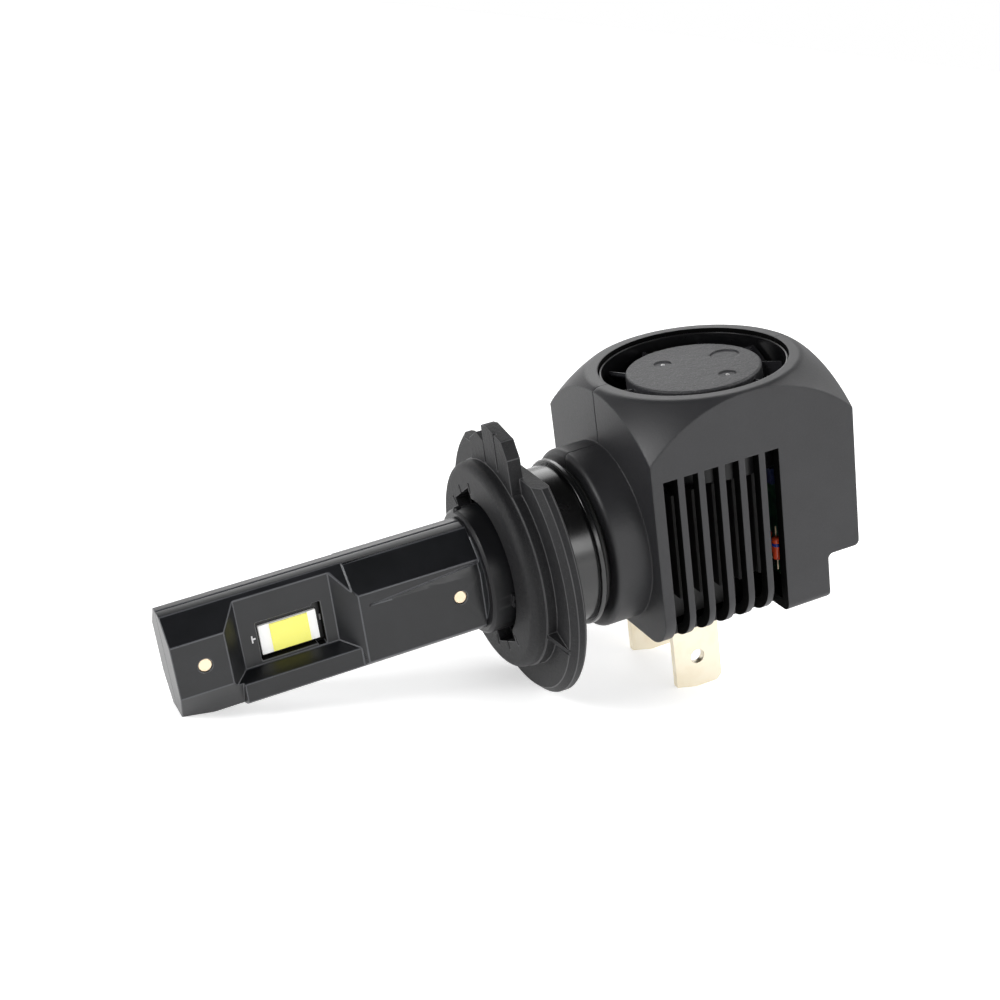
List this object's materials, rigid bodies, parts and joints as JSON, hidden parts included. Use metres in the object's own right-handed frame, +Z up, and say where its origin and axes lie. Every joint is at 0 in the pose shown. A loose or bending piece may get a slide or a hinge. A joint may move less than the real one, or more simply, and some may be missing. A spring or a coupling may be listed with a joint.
{
  "type": "headlight bulb",
  "caption": "LED headlight bulb with a bladed plug base, twist-on base ring, LED stem and fan-cooled finned housing.",
  "frame": {"origin": "on the bulb axis, in the front face of the base ring's disc (the lamp's reference plane)", "axes": "+X along the bulb axis from the stem's tip to the fan housing, +Z up through the fan, -Y the near side"},
  "size_m": [0.0735, 0.03, 0.0356],
  "materials": {
    "anodised_aluminium": "smooth satin black anodising",
    "copper": "bare copper core plate",
    "rivet_brass": "pale brass rivet ends",
    "led_ceramic": "white matt LED package",
    "phosphor": "light yellow phosphor layer",
    "gloss_black": "glossy black moulding",
    "seal_rubber": "black rubber ring",
    "ring_plastic": "grainy matt black moulding",
    "housing_plastic": "finely spark-eroded matt black moulding",
    "fan_plastic": "smooth black moulding",
    "rotor_plastic": "grainy dark grey moulding",
    "shaft_steel": "ground steel",
    "bearing_brass": "sintered bronze",
    "circuit_board": "green solder mask",
    "stator_steel": "stacked steel laminations",
    "coil_copper": "enamelled copper wire",
    "magnet": "bonded ferrite",
    "heat_sink_aluminium": "black anodised aluminium",
    "tinned_brass": "pale tinned brass strip",
    "block_plastic": "black insulating moulding",
    "diode_glass": "orange-red glass body",
    "chip_black": "black epoxy package",
    "resistor_ceramic": "thick-film resistor",
    "inductor_ferrite": "dark grey ferrite",
    "capacitor_can": "bright aluminium can",
    "lead_insulation": "red insulation"
  },
  "bodies": {
    "bulb": {"stem_shell_near": "anodised_aluminium", "stem_shell_far": "anodised_aluminium", "lock_collar": "anodised_aluminium", "copper_core": "copper", "stem_rivets": "rivet_brass", "led_base_near": "led_ceramic", "led_base_far": "led_ceramic", "led_phosphor_near": "phosphor", "led_phosphor_far": "phosphor", "neck_sleeve": "gloss_black", "neck_seal": "seal_rubber", "housing_near": "housing_plastic", "housing_far": "housing_plastic", "fan_frame": "fan_plastic", "fan_bearing": "bearing_brass", "fan_board": "circuit_board", "stator_core": "stator_steel", "stator_coils": "coil_copper", "heat_sink": "heat_sink_aluminium", "terminal_near": "tinned_brass", "terminal_far": "tinned_brass", "terminal_block": "block_plastic", "driver_board": "circuit_board", "driver_diodes": "diode_glass", "driver_chip": "chip_black", "driver_transistors": "chip_black", "driver_resistors": "resistor_ceramic", "driver_inductor": "inductor_ferrite", "driver_capacitors": "capacitor_can", "power_leads": "lead_insulation", "led_leads": "lead_insulation"},
    "ring": {"base_ring": "ring_plastic"},
    "rotor": {"fan_rotor": "rotor_plastic", "fan_shaft": "shaft_steel", "rotor_magnet": "magnet"}
  },
  "joints": [
    {"name": "ring_twist", "type": "hinge", "parent": "bulb", "child": "ring", "pos_m": [0, 0, 0], "axis": [1, 0, 0], "range_deg": [0, 30]},
    {"name": "fan_spin", "type": "hinge", "parent": "bulb", "child": "rotor", "pos_m": [0.0239, 0, 0.012], "axis": [0, 0, 1], "continuous": true}
  ]
}
